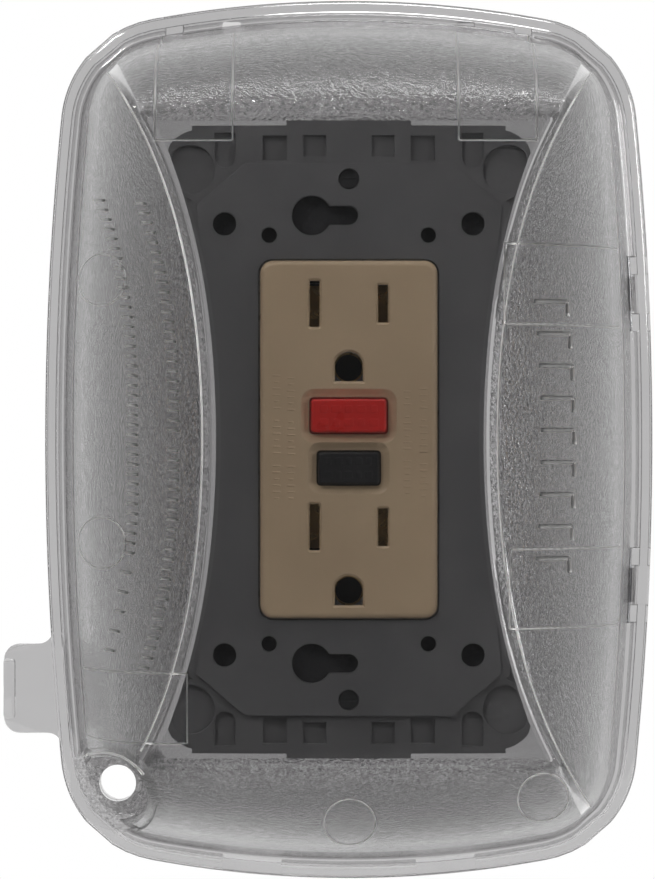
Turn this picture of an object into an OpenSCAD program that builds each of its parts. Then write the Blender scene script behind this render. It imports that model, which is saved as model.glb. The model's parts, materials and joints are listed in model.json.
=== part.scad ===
// Duplex GFCI receptacle in a dark mounting plate, inside a clear in-use weather cover.
// Millimetres. +X right, +Y into the wall, +Z up; the front faces -Y.
// The origin is the middle of the device, on the wall plane (y = 0).

/* [Lid] */
// Half width of the lid's rim
rim_half_w = 56.3; // [56:0.1:57]
// Half height of the lid's rim
rim_half_h = 81.3; // [81:0.1:82]
// Distance from the wall to the front of the bubble
lid_depth = 86; // [76:1:96]
// Thickness of the lid's clear wall
lid_t = 2.2; // [2:0.1:2.6]
// Height at which the flat window turns into the end walls
window_half_h = 58; // [56:0.5:60]
// Half width between the two creases at mid height
crease_half_w = 25.9; // [24:0.1:28]
// Gap between the wall and the lid's rim
rim_gap = 4; // [4:0.1:5]

/* [Cover base] */
// Thickness of the clear flange and of the plate on it
sheet_t = 2; // [1.8:0.1:2.2]
// Radius of the lid's hinge pins
pin_r = 1.5; // [1.4:0.05:1.6]
// Height of each hinge above and below the middle
hinge_z = 27; // [26:0.5:28]
// Radius of the padlock hole
padlock_r = 3.4; // [3:0.1:3.6]

/* [Mounting plate] */
// Half width of the dark plate
plate_half_w = 35.2; // [35:0.1:36]
// Half height of the dark plate
plate_half_h = 59.3; // [59:0.1:60]

/* [Receptacle] */
// Width of the receptacle's face
face_w = 33; // [33:0.1:33.2]
// Height of the receptacle's face
face_h = 66.5; // [66:0.1:66.8]
// Height of the face above the wall
face_front = 9.6; // [9.4:0.1:10]
// Width of the receptacle's body
body_w = 42; // [42:0.2:43]
// Height of the receptacle's body
body_h = 68.8; // [68:0.2:70]
// Depth of the receptacle behind its strap
body_depth = 27; // [27:0.5:29]
// Thickness of the steel strap
yoke_t = 1.6; // [1.4:0.1:1.6]
// Half the spacing of the screws to the wall box
box_screw_z = 41.65; // [41.65:0.01:41.65]
// Half the spacing of the plate screws
plate_screw_z = 48.4; // [48.4:0.01:48.4]

/* [Hidden] */
$fn = 48;

// ---- colours ----
smoke = [0.55, 0.53, 0.52, 0.45];
dark_plastic = [0.17, 0.17, 0.17];
tan_plastic = [0.80, 0.68, 0.50];
steel = [0.72, 0.73, 0.75];
brass = [0.80, 0.62, 0.28];
foam = [0.22, 0.22, 0.23];

// ---- cover outline: two long side arcs, two end arcs and four corner arcs ----
side_arc_r = 600;
end_arc_r = 200;
corner_arc_r = 20.5;
side_c = [rim_half_w - side_arc_r, 0];
end_c = [0, rim_half_h - end_arc_r];

// Centre of the circle that touches both arcs from inside
function meet(c1, r1, c2, r2) =
    let (d = norm(c2 - c1), u = (c2 - c1) / d, a = (r1 * r1 - r2 * r2 + d * d) / (2 * d),
         h = sqrt(r1 * r1 - a * a), p = c1 + a * u, n = [-u[1], u[0]],
         q = p + h * n, s = p - h * n)
    q[0] > s[0] ? q : s;
corner_c = meet(side_c, side_arc_r - corner_arc_r, end_c, end_arc_r - corner_arc_r);

side_angle = atan2(corner_c[1], corner_c[0] - side_c[0]);
end_angle = atan2(corner_c[0], corner_c[1] - end_c[1]);

// A quarter of the outline at an inset, as points from the +X side to the +Z end
function quarter(inset, n_side = 6, n_corner = 9, n_end = 5) = concat(
    [for (i = [0:n_side - 1]) let (a = side_angle * i / n_side)
        side_c + (side_arc_r - inset) * [cos(a), sin(a)]],
    [for (i = [0:n_corner]) let (a = side_angle + (90 - end_angle - side_angle) * i / n_corner)
        corner_c + (corner_arc_r - inset) * [cos(a), sin(a)]],
    [for (i = [1:n_end]) let (a = 90 - end_angle * (1 - i / n_end))
        end_c + (end_arc_r - inset) * [cos(a), sin(a)]]);

function outline(inset) = let (q = quarter(inset), n = len(q)) concat(
    q,
    [for (i = [n - 2:-1:0]) [-q[i][0], q[i][1]]],
    [for (i = [1:n - 1]) [-q[i][0], -q[i][1]]],
    [for (i = [n - 2:-1:1]) [q[i][0], -q[i][1]]]);

// Reach of the outline at a height, and its height at a distance from the middle
function reach_x(z, inset) = abs(z) < corner_c[1]
    ? side_c[0] + sqrt(pow(side_arc_r - inset, 2) - z * z)
    : corner_c[0] + sqrt(max(0, pow(corner_arc_r - inset, 2) - pow(abs(z) - corner_c[1], 2)));
function reach_z(x, inset) = abs(x) < corner_c[0]
    ? end_c[1] + sqrt(pow(end_arc_r - inset, 2) - x * x)
    : corner_c[1] + sqrt(max(0, pow(corner_arc_r - inset, 2) - pow(abs(x) - corner_c[0], 2)));

// A point of one inset moved to another, square to the outline
function shifted(p, from, to) =
    let (sx = p[0] < 0 ? -1 : 1, sz = p[1] < 0 ? -1 : 1, a = [abs(p[0]), abs(p[1])],
         on_side = atan2(a[1], a[0] - side_c[0]) < side_angle,
         on_end = atan2(a[0], a[1] - end_c[1]) < end_angle,
         c = on_side ? side_c : on_end ? end_c : corner_c,
         r = on_side ? side_arc_r : on_end ? end_arc_r : corner_arc_r,
         m = c + (a - c) / norm(a - c) * (r - to))
    [m[0] * sx, m[1] * sz];

// ---- lid surface ----
skirt_y = -14;          // front of the vertical skirt
band_w = 3.9;           // width of the plain band round the bubble
wall_foot_y = -28;      // where the steep foot of the wall bends inwards
foot_inset = 5.8;
crease_end_z = 67.2;
crease_bow = 0.002642;
rows = 24;
lobe_cols = 6;
front_cols = 8;
cols = 2 * lobe_cols + front_cols;
window_share = 0.62;    // part of the rows that lies on the flat window
crease_end_x = reach_x(crease_end_z, foot_inset);
crease_flare = (crease_end_x - crease_half_w - crease_bow * pow(crease_end_z, 2))
    / pow(crease_end_z, 4);

function turn(s) = abs(s) < window_share ? 0 : (abs(s) - window_share) / (1 - window_share);
function crease_z(s) = (s < 0 ? -1 : 1) * (abs(s) < window_share
    ? window_half_h * abs(s) / window_share
    : window_half_h + (crease_end_z - window_half_h) * sin(90 * turn(s)));
function crease_x(z) = crease_half_w + crease_bow * z * z + crease_flare * pow(z, 4);

// Point of the bubble: s runs from the bottom row to the top, i across; t is the inward offset
function bubble(s, i, t) =
    let (zc = crease_z(s), end = sin(90 * turn(s)), inset = foot_inset + t,
         scale_z = reach_z(0, inset) / reach_z(0, foot_inset),
         foot = wall_foot_y, full = -(lid_depth - t),
         y_row = foot + (full - foot) * cos(90 * turn(s)),
         xc = crease_x(zc) - t, z = zc * scale_z,
         xb = reach_x(zc, foot_inset) - t,
         j = i <= cols / 2 ? i : cols - i, side = i <= cols / 2 ? 1 : -1)
    j <= lobe_cols
        ? let (u = j / lobe_cols, a = 70 * u)
          [side * (xb + (xc - xb) * (1 - cos(a)) / (1 - cos(70))),
           foot + (y_row - foot) * sin(a) / sin(70), z]
        : let (c = (cols / 2 - j) / (cols / 2 - lobe_cols), x = side * xc * c,
               rise = reach_z(crease_end_x * c, foot_inset) - crease_end_z)
          [x, y_row, z + (s < 0 ? -1 : 1) * end * rise * scale_z];

function row_s(j) = 2 * j / rows - 1;
function sheet(t) = [for (j = [0:rows]) [for (i = [0:cols]) bubble(row_s(j), i, t)]];

// The closed loop of points where the bubble meets the foot of the wall, from the lower right
function foot_loop(g) = concat(
    [for (j = [0:rows - 1]) g[j][0]],
    [for (i = [lobe_cols:cols - lobe_cols - 1]) g[rows][i]],
    [for (j = [rows:-1:1]) g[j][cols]],
    [for (i = [cols - lobe_cols:-1:lobe_cols + 1]) g[0][i]]);

// Rings of the skirt: inset and y, from the foot of the wall to the rim
function skirt_steps(t) = [[band_w + t, skirt_y + t], [t * 1.0, skirt_y + t], [t * 1.0, -rim_gap]];

function skirt_ring(loop, t, step) = [for (p = loop)
    let (q = shifted([p[0], p[2]], foot_inset + t, step[0])) [q[0], step[1], q[1]]];

// Surface of the lid at an inward offset, as [points, faces, rim loop's first index, its length]
function skin(t) =
    let (g = sheet(t), loop = foot_loop(g), n = len(loop), steps = skirt_steps(t),
         rings = [for (st = steps) skirt_ring(loop, t, st)],
         base = (rows + 1) * (cols + 1),
         pts = concat([for (r = g) each r], loop, [for (r = rings) each r]),
         id = function(j, i) j * (cols + 1) + i,
         faces = concat(
            [for (j = [0:rows - 1], i = [0:cols - 1])
                if (!(j == 0 && (i < lobe_cols || i >= cols - lobe_cols)))
                    [id(j, i), id(j, i + 1), id(j + 1, i)]],
            [for (j = [0:rows - 1], i = [0:cols - 1])
                if (!(j == rows - 1 && (i < lobe_cols || i >= cols - lobe_cols)))
                    [id(j + 1, i), id(j, i + 1), id(j + 1, i + 1)]],
            [for (k = [0:len(steps) - 1], m = [0:n - 1]) let (a = base + k * n, b = a + n)
                each [[a + m, a + (m + 1) % n, b + m],
                      [b + m, a + (m + 1) % n, b + (m + 1) % n]]]))
    [pts, faces, base + len(steps) * n, n];

function reversed(faces, shift) = [for (f = faces) [f[2] + shift, f[1] + shift, f[0] + shift]];

// ---- helpers ----
// Raises a flat (x, z) shape between two distances from the wall
module slab(front, back) translate([0, back, 0]) rotate([90, 0, 0]) linear_extrude(back - front)
    children();

// Block from its lowest corner to its highest
module block(low, high) translate(low) cube(high - low);

// Round bar along Y
module bar_y(x, z, r, front, back) translate([x, back, z]) rotate([90, 0, 0])
    cylinder(h = back - front, r = r);

// Flat rectangle with round corners
module rounded(w, h, r) {
    square([w - 2 * r, h], center = true);
    square([w, h - 2 * r], center = true);
    for (x = [-1, 1], z = [-1, 1]) translate([x * (w / 2 - r), z * (h / 2 - r)]) circle(r);
}

module ring_y(x, z, r_out, r_in, front, back) difference() {
    bar_y(x, z, r_out, front, back);
    bar_y(x, z, r_in, front - 1, back + 1);
}

// Flat cover outline at an inset, cut off on the hinge side
module cover_outline(inset, right) intersection() {
    polygon(outline(inset));
    translate([-100, -100]) square([100 + right, 200]);
}

// Round wire wound on a helix along Y, closed at both ends
module coil_spring(coil_r, wire_r, turns, front, back, per_turn = 12, sides = 6) {
    n = turns * per_turn;
    pts = [for (k = [0:n], m = [0:sides - 1]) let (a = 360 * k / per_turn, b = 360 * m / sides,
        r = coil_r + wire_r * cos(b))
        [r * cos(a), front + wire_r + (back - front - 2 * wire_r) * k / n + wire_r * sin(b),
         r * sin(a)]];
    faces = concat(
        [for (k = [0:n - 1], m = [0:sides - 1]) let (a = k * sides, b = a + sides)
            each [[a + m, a + (m + 1) % sides, b + m],
                  [b + m, a + (m + 1) % sides, b + (m + 1) % sides]]],
        [[for (m = [sides - 1:-1:0]) m], [for (m = [0:sides - 1]) n * sides + m]]);
    polyhedron(pts, faces);
}

// ---- weather cover ----
hinge_x = 50.5;
hinge_y = -8.5;
knuckle_r = 2.8;
knuckle_half = 3.2;
lug_gap = 0.4;          // clearance of the base's knuckle between the lid's lugs
lug_t = 3.4;
running_fit = 0.05;
lock_x = -42.8;
lock_z = -63.6;
pocket_r = 7;
tab_low_z = -54.6;
tab_high_z = -38;
tab_end_x = -64.2;
tab_corner_r = 3;
cord_x = 18;
cord_half_w = 5.5;
cord_top_y = -11.2;
lip_inset = 4.6;        // outline of the base flange
base_right_x = 42.4;    // the flange stops short of the lid's swing
flange_back = -3;
flange_front = flange_back - sheet_t;
arm_front = flange_front - 2.4;
arm_t = 1.4;

module lid_shell() {
    out = skin(0);
    in = skin(lid_t);
    shift = len(out[0]);
    o = out[2];
    q = in[2] + shift;
    n = out[3];
    polyhedron(concat(out[0], in[0]), concat(out[1], reversed(in[1], shift),
        [for (m = [0:n - 1]) each [[o + m, o + (m + 1) % n, q + m],
                                   [q + m, o + (m + 1) % n, q + (m + 1) % n]]]));
}

// Solid block of the bubble's shape, for trimming what is moulded inside it
module lid_block(t) {
    s = skin(t);
    polyhedron(s[0], concat(s[1], [[for (m = [0:s[3] - 1]) s[2] + m]]));
}

module lugs(z) for (side = [-1, 1])
    let (near = z + side * (knuckle_half + lug_gap), far = near + side * lug_t)
        block([hinge_x - 3.3, skirt_y + 1, min(near, far)], [rim_half_w - 1.2, -5.6, max(near, far)]);

module lid() color(smoke) difference() {
    union() {
        difference() {
            lid_shell();
            bar_y(lock_x, lock_z, pocket_r + lid_t - 0.5, -90, skirt_y + 1);
        }
        for (z = [-hinge_z, hinge_z]) lugs(z);
        // The same lugs at the top, unused, for a cover hinged upwards
        for (x = [-hinge_z, hinge_z], side = [-1, 1])
            let (mid = x + side * (knuckle_half + lug_gap + lug_t / 2), half = lug_t / 2)
                block([mid - half, skirt_y + 1, rim_half_h - 9.2], [mid + half, -5.6, rim_half_h - 4]);
        // Padlock well: a cup with a thick floor that the shackle goes through
        intersection() {
            lid_block(0.4);
            difference() {
                bar_y(lock_x, lock_z, pocket_r + lid_t, -90, skirt_y + lid_t + 0.6);
                bar_y(lock_x, lock_z, pocket_r, -91, skirt_y);
            }
        }
        // Latch tab with its raised thumb lip
        slab(-rim_gap - 2.2, -rim_gap) {
            translate([tab_end_x + 1.5 * tab_corner_r, (tab_low_z + tab_high_z) / 2])
                rounded(3 * tab_corner_r, tab_high_z - tab_low_z, tab_corner_r);
            translate([tab_end_x + tab_corner_r, tab_low_z])
                square([-rim_half_w + 2 - tab_end_x - tab_corner_r, tab_high_z - tab_low_z]);
        }
        block([tab_end_x, -9, tab_low_z + 2.7], [tab_end_x + 2, -rim_gap - 2, tab_high_z - 2.7]);
    }
    // The scoop runs out to the corner of the rim
    intersection() {
        translate([lock_x, 0, lock_z]) rotate([0, -45, 0]) block([-20, -90, -5], [0, skirt_y, 5]);
        bar_y(lock_x, lock_z, 22, -90, skirt_y);
    }
    bar_y(lock_x, lock_z, padlock_r, -30, 0);
    for (z = [-hinge_z, hinge_z]) translate([hinge_x, hinge_y, z])
        cylinder(h = 30, r = pin_r + running_fit, center = true);
    // Notches in the skirt that clear the base's hinge arms when the lid is open
    for (z = [-hinge_z, hinge_z])
        block([53, arm_front, z - knuckle_half - lug_gap], [60, 0, z + knuckle_half + lug_gap]);
    // Ways out for the cords, through the bottom of the skirt
    for (x = [-cord_x, cord_x])
        block([x - cord_half_w, cord_top_y, -rim_half_h - 2], [x + cord_half_w, 0, -rim_half_h + 6]);
}

module base_frame() color(smoke) difference() {
    union() {
        slab(flange_front, flange_back) difference() {
            cover_outline(lip_inset, base_right_x);
            rounded(62, 113, 5);
        }
        // Edge turned back towards the wall
        slab(flange_back, -0.4) difference() {
            cover_outline(lip_inset, base_right_x);
            cover_outline(lip_inset + 1.8, base_right_x - 1.8);
        }
        // Rib that keeps the rain out, inside the lid's skirt
        slab(-9, flange_front) difference() {
            cover_outline(8.6, base_right_x - 1);
            cover_outline(10.2, base_right_x - 2.6);
        }
        for (z = [-hinge_z, hinge_z]) {
            translate([hinge_x, hinge_y, z]) cylinder(h = 2 * knuckle_half, r = knuckle_r, center = true);
            block([base_right_x - 4, arm_front, z - knuckle_half],
                [hinge_x, arm_front + arm_t, z + knuckle_half]);
            block([base_right_x - 4, arm_front, z - knuckle_half],
                [base_right_x, flange_back, z + knuckle_half]);
        }
    }
    bar_y(lock_x, lock_z, padlock_r, -30, 5);
    for (z = [-hinge_z, hinge_z]) translate([hinge_x, hinge_y, z])
        cylinder(h = 30, r = pin_r, center = true);
    for (x = [-cord_x, cord_x])
        block([x - cord_half_w, -30, -rim_half_h], [x + cord_half_w, flange_front, -66]);
}

module hinge_pins() color(steel) for (z = [-hinge_z, hinge_z])
    translate([hinge_x, hinge_y, z])
        cylinder(h = 2 * (knuckle_half + lug_gap + lug_t) - 0.4, r = pin_r, center = true);

gasket_hole_w = 58;
gasket_hole_h = 109;
module wall_gasket() color(foam) slab(flange_back, 0) difference() {
    rounded(2 * plate_half_w - 1.4, 2 * plate_half_h - 3, 8);
    rounded(gasket_hole_w, gasket_hole_h, 5);
}

// ---- mounting plate ----
plate_back = flange_front;
plate_front = plate_back - sheet_t;
panel_front = plate_front - 1;
keyhole_x = -6.9;

module plate_outline() {
    rounded(2 * plate_half_w, 2 * plate_half_h - 3, 8);
    // Ends slightly bowed, with a small tab at the top and the bottom
    intersection() {
        for (s = [-1, 1]) translate([0, s * (plate_half_h - 330)]) circle(330, $fn = 180);
        square([2 * plate_half_w - 12, 2 * plate_half_h], center = true);
    }
    square([23.2, 2 * plate_half_h + 4.4], center = true);
}

module centre_panel() polygon([for (q = [[1, 1], [-1, 1], [-1, -1], [1, -1]])
    each let (a = [19.3, 51.4], b = [28.3, 43.6])
        q[0] == q[1] ? [[q[0] * b[0], q[1] * b[1]], [q[0] * a[0], q[1] * a[1]]]
                     : [[q[0] * a[0], q[1] * a[1]], [q[0] * b[0], q[1] * b[1]]]]);

module mounting_plate() color(dark_plastic) difference() {
    union() {
        slab(plate_front, plate_back) plate_outline();
        slab(panel_front, plate_front) centre_panel();
    }
    slab(-20, 0) {
        rounded(face_w + 0.5, face_h + 0.5, 2.6);
        for (s = [-1, 1]) {
            for (x = [-14.8, 14.8]) translate([x, s * 38]) circle(1.45);
            for (x = [-23.1, 23.1]) translate([x, s * 40.1]) circle(2.2);
            translate([keyhole_x, s * box_screw_z]) circle(3.7);
            translate([keyhole_x, s * box_screw_z - 1.75]) square([-keyhole_x, 3.5]);
            translate([0, s * box_screw_z]) circle(1.75);
            translate([0, s * plate_screw_z]) circle(1.5);
        }
    }
    // Counterbores that sink the heads of the plate screws
    for (s = [-1, 1]) bar_y(0, s * plate_screw_z, 1.95, -20, plate_front + 1);
    // Shallow wells, slots and the comb of recesses near the ends
    slab(-20, plate_front + 1.2) for (s = [-1, 1]) {
        for (x = [-29.5, 29.5]) translate([x, s * 50.2]) circle(4.6);
        for (x = [-23, 23]) {
            translate([x, s * 54.8]) square([4, 4.4], center = true);
            translate([x, s * 52.6]) circle(2);
        }
        for (x = [-1, 1]) {
            translate([x * 6.35, s * 54.6]) square([4.3, 4], center = true);
            translate([x * 13.75, s * 54.2]) square([4.5, 4.6], center = true);
        }
    }
    slab(-20, plate_front + 1.2) for (x = [-1, 1], s = [-1, 1])
        polygon([[x * 33.2, s * 41.6], [x * 33.2, s * 45.2], [x * 29.4, s * 44.4]]);
}

module plate_screws() color([0.12, 0.12, 0.12]) for (s = [-1, 1]) difference() {
    union() {
        bar_y(0, s * plate_screw_z, 1.8, plate_front + 0.2, plate_front + 1);
        bar_y(0, s * plate_screw_z, 1.4, plate_front + 1, 4);
    }
    block([-1.4, -20, s * plate_screw_z - 0.3], [1.4, plate_front + 0.6, s * plate_screw_z + 0.3]);
}

// Foam pad behind the whole plate, with blind pockets for the heads of the box screws
module device_gasket() color(foam) difference() {
    slab(plate_back, -yoke_t) difference() {
        rounded(gasket_hole_w - 1.4, gasket_hole_h - 1.4, 4);
        rounded(face_w + 0.6, face_h + 0.6, 2.6);
        for (s = [-1, 1]) translate([0, s * plate_screw_z]) circle(1.6);
    }
    for (s = [-1, 1]) bar_y(0, s * box_screw_z, 4, -yoke_t - 2.3, 0);
}

// ---- receptacle front ----
blade_x = 6.35;
upper_blade_z = 25.2;
lower_blade_z = -16.3;
upper_ground_z = 13.4;
lower_ground_z = -28.2;
ground_w = 5.2;
reset_z = 4.4;
test_z = -5.3;
face_t = 2.2;
face_back = -face_front + face_t;
post_x = 13.9;
post_z = 30.4;

module ground_hole() {
    intersection() {
        translate([0, 0.2]) circle(ground_w / 2 + 0.1);
        translate([-ground_w / 2, -2.6]) square([ground_w, 6]);
    }
    translate([-ground_w / 2, -2.6]) square([ground_w, 2.8]);
}

module blade_slots(z) {
    translate([-blade_x, z]) square([1.9, 8.6], center = true);
    translate([blade_x, z]) square([1.9, 7], center = true);
}

module face() color(tan_plastic) difference() {
    union() {
        slab(-face_front, face_back) rounded(face_w, face_h, 2.5);
        slab(face_back, -yoke_t) difference() {
            rounded(face_w, face_h, 2.5);
            rounded(face_w - 3.2, face_h - 3.2, 1.2);
        }
        for (x = [-post_x, post_x], z = [-post_z, post_z]) bar_y(x, z, 2.2, face_back - 0.2, -yoke_t);
    }
    slab(-20, face_back + 1) {
        blade_slots(upper_blade_z);
        blade_slots(lower_blade_z);
        translate([0, upper_ground_z]) ground_hole();
        translate([0, lower_ground_z]) ground_hole();
        translate([0, reset_z]) rounded(14.7, 6.9, 0.8);
        translate([0, test_z]) rounded(12, 6.6, 0.8);
    }
    // Sunk frames round the two buttons
    slab(-20, -face_front + 0.6) {
        translate([0, reset_z]) rounded(17.4, 9.2, 1);
        translate([0, test_z - 0.1]) rounded(14.8, 8.8, 1);
    }
    for (x = [-post_x, post_x], z = [-post_z, post_z]) bar_y(x, z, 1.2, face_back + 0.4, 0);
}

// Button cap with a collar behind the face
module button(w, h, z, front, back) {
    slab(front, back) translate([0, z]) rounded(w, h, 0.7);
    slab(-5.6, -4.8) translate([0, z]) rounded(w + 2, h + 0.8, 0.6);
}

post_r = 1.4;
module reset_button() color([0.80, 0.13, 0.13]) difference() {
    button(14.1, 6.3, reset_z, -face_front - 0.9, -3.4);
    bar_y(0, reset_z, post_r, -5.5, 0);
}

module reset_post() color(steel) {
    bar_y(0, reset_z, post_r, -5.5, 13.6);
    bar_y(0, reset_z, 2.1, 12.8, 14.2);
}

module reset_spring() color(steel) translate([0, 0, reset_z])
    coil_spring(2.6, 0.3, 5, -3.3, 9.5);

module test_button() color([0.12, 0.12, 0.12]) {
    button(11.4, 6, test_z, -face_front - 0.7, -3.4);
    bar_y(0, test_z, 1.5, -3.4, 0.6);
}

module test_leaf() color(brass) {
    block([-3, 0.8, -9.25], [3, 1.2, -3.2]);
    block([-3, 0.8, -9.25], [3, 4, -8.85]);
}

// ---- strap ----
module yoke() color(steel) difference() {
    union() {
        slab(-yoke_t, 0) {
            rounded(19, 106.4, 2);
            rounded(body_w - 0.4, body_h - 0.4, 2);
        }
        // Ear bent back for the ground screw
        block([-18, -yoke_t, -body_h / 2 - 1.8], [-8, 13, -body_h / 2 - 0.2]);
    }
    slab(-20, 20) {
        for (x = [-8.1, 8.1]) {
            translate([x, upper_blade_z]) square([7.4, 12], center = true);
            translate([x, lower_blade_z]) square([7.4, 11.6], center = true);
        }
        translate([0, (reset_z + test_z) / 2 + 0.1]) square([16.8, 17.6], center = true);
        for (z = [upper_ground_z, lower_ground_z]) translate([0, z]) circle(2.8);
        for (s = [-1, 1]) {
            for (x = [-1, 0, 1]) translate([x * 1.4, s * box_screw_z]) circle(2);
            translate([0, s * box_screw_z]) square([2.8, 4], center = true);
            translate([0, s * plate_screw_z]) circle(1.45);
        }
        for (x = [-post_x, post_x], z = [-post_z, post_z]) translate([x, z]) circle(1.5);
    }
    translate([-13, 7, -body_h / 2 - 5]) cylinder(h = 6, r = 2.05);
}

module ground_contacts() color(brass) for (z = [upper_ground_z, lower_ground_z]) difference() {
    union() {
        slab(0, 0.6) translate([0, z]) square([6.4, 7.2], center = true);
        bar_y(0, z, 3.1, 0, 6.8);
    }
    bar_y(0, z, 2.5, -1, 9);
    block([-0.5, 2, z], [0.5, 9, z + 5]);
}

module ground_screw() color([0.10, 0.42, 0.20]) difference() {
    union() {
        translate([-13, 7, -body_h / 2 - 3.8]) cylinder(h = 2, r = 3.9);
        translate([-13, 7, -body_h / 2 - 2]) cylinder(h = 3.4, r = 2);
    }
    block([-16, 6.5, -body_h / 2 - 5], [-10, 7.5, -body_h / 2 - 3]);
}

screw_neck_r = 1.4;
module box_screws() color(steel) for (s = [-1, 1]) difference() {
    union() {
        bar_y(0, s * box_screw_z, 3.4, -yoke_t - 2, -yoke_t);
        bar_y(0, s * box_screw_z, screw_neck_r, -yoke_t, 0);
        bar_y(0, s * box_screw_z, 1.75, 0, 22);
    }
    block([-4, -8, s * box_screw_z - 0.5], [4, -yoke_t - 1, s * box_screw_z + 0.5]);
}

module screw_retainers() color([0.85, 0.83, 0.78]) for (s = [-1, 1])
    ring_y(0, s * box_screw_z, 2.15, 1.75, 0, 0.8);

// ---- middle housing and contacts ----
middle_back = 9.2;
middle_floor = 8;
module middle_housing() color([0.88, 0.87, 0.84]) difference() {
    slab(0, middle_back) rounded(body_w, body_h, 1.6);
    slab(-1, middle_floor) {
        for (x = [-1, 1]) translate([x * 9.25, 2.6]) square([9.7, 53.2], center = true);
        translate([0, 20.5]) square([6.6, 22.4], center = true);
        translate([0, -22.2]) square([6.6, 20.4], center = true);
    }
    // Window for the buttons and the reset post
    slab(-1, 20) translate([0, (reset_z + test_z) / 2]) square([8.4, 17.6], center = true);
    slab(-1, 20) for (x = [-1, 1]) translate([x * 12, -3]) circle(1.9);
    slab(-1, 20) for (x = [-post_x, post_x], z = [-post_z, post_z]) translate([x, z]) circle(1.5);
    translate([-13, 7, -body_h / 2 - 1]) cylinder(h = 3.2, r = 2.15);
    // Ways for the contact tails down to the board
    slab(-1, 20) for (x = [-1, 1]) translate([x * 12.6, 14]) square([1.4, 4], center = true);
}

// Bus strip with two pairs of jaws, a fixed contact and a tail for the board
module face_contact(side) color(brass) {
    block([min(side * 5.2, side * 13.6), 6.6, -20.4], [max(side * 5.2, side * 13.6), 7.2, 28.8]);
    for (z = [upper_blade_z, lower_blade_z], leaf = [-1.35, 0.85])
        block([side * blade_x + leaf, -6.4, z - 3.6], [side * blade_x + leaf + 0.5, 6.6, z + 3.6]);
    bar_y(side * 12, -3, 1.6, 7.2, 9.6);
    block([side * 12.6 - 0.4, 7.2, 12.6], [side * 12.6 + 0.4, board_front, 15.4]);
}
module neutral_contact() face_contact(-1);
module hot_contact() face_contact(1);

board_front = 17;
board_t = 1.6;
module moving_contacts() color(brass) for (side = [-1, 1]) {
    bar_y(side * 12, -3, 1.6, 9.7, 10.4);
    block([side * 12 - 1.8, 10.4, -24], [side * 12 + 1.8, 10.8, -1.2]);
    block([side * 12 - 1.8, 10.4, -24.4], [side * 12 + 1.8, board_front, -24]);
}

module contact_carriage() color([0.25, 0.25, 0.27]) difference() {
    union() {
        block([-8, 9.6, -5], [8, 14.2, 9.4]);
        for (x = [-1, 1]) block([min(x * 7.9, x * 14), 11, -5], [max(x * 7.9, x * 14), 12.4, -1]);
    }
    block([-4.2, 11, -6], [4.2, 12.4, 11]);
    bar_y(0, reset_z, 2.25, 0, 20);
}

latch_travel = 2.5;
opening_r = 2.35;
catch_hold = 0.5;
catch_z = reset_z - catch_hold - (opening_r - 2.1);
// Steel latch in the carriage's slot, with a tail that the plunger pushes
module latch_plate() color(steel) difference() {
    union() {
        block([-4, 11.2, -10], [4, 12.2, 10]);
        block([-2.4, 11.2, -11], [2.4, 19.2, -10]);
    }
    // Long opening, whose upper edge hooks the post's head by catch_hold
    hull() for (z = [catch_z - latch_travel, catch_z]) bar_y(0, z, opening_r, 10, 13);
}

// ---- solenoid ----
coil_y = 18.9;
coil_low_z = -29;
coil_high_z = -14.4;
plunger_r = 1.9;
module solenoid_plunger() color(steel) {
    translate([0, coil_y, -27]) cylinder(h = 15.7, r = plunger_r);
    translate([0, coil_y, -11.9]) cylinder(h = 0.6, r = 3);
}
module plunger_spring() color(steel) translate([0, coil_y, coil_high_z + 0.1]) rotate([90, 0, 0])
    coil_spring(2.4, 0.2, 3, 0, 2.3);

module solenoid_bobbin() color([0.90, 0.89, 0.84]) translate([0, coil_y, 0]) difference() {
    union() {
        translate([0, 0, coil_low_z + 0.8]) cylinder(h = 13, r = 2.6);
        for (z = [coil_low_z + 0.8, coil_high_z - 2]) translate([0, 0, z]) cylinder(h = 1.2, r = 5.4);
    }
    translate([0, 0, coil_low_z + 1.4]) cylinder(h = 20, r = plunger_r + 0.08);
}
module solenoid_coil() color([0.72, 0.38, 0.16]) translate([0, coil_y, coil_low_z + 2]) difference() {
    cylinder(h = 10.4, r = 4.9);
    translate([0, 0, -1]) cylinder(h = 13, r = 2.6);
}
module solenoid_frame() color(steel) difference() {
    block([-6.4, coil_y - 6.4, coil_low_z], [6.4, coil_y + 5.4, coil_high_z]);
    block([-7, coil_y - 5.5, coil_low_z + 0.8], [7, coil_y + 7, coil_high_z - 0.8]);
    translate([0, coil_y, coil_low_z + 2]) cylinder(h = 30, r = plunger_r + 0.4);
}

// ---- board and sensing ----
toroid_z = 19;
board_back = board_front + board_t;
module circuit_board() color([0.10, 0.35, 0.18]) slab(board_front, board_back) difference() {
    square([30, 63], center = true);
    translate([-7.5, -30]) square([15, 23]);
    translate([0, reset_z]) circle(3);
    translate([0, toroid_z]) circle(3.4);
    for (x = [-post_x, post_x], z = [-post_z, post_z]) translate([x, z]) circle(2.8);
}

module board_components() color([0.20, 0.20, 0.22]) {
    block([-13.5, board_back, -3], [-6.5, board_back + 1.8, 6]);
    bar_y(10, 3, 3.8, board_back, board_back + 3.2);
    block([8.6, board_back, -17], [14, board_back + 5, -8]);
    block([-14, board_back, -14], [-9, board_back + 4.2, -9.6]);
    bar_y(11, -23.4, 3, board_back, board_back + 5.6);
    for (z = [-26, -22.6, -19.2]) block([-13.6, board_back, z - 1], [-8.6, board_back + 2, z + 1]);
}

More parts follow.
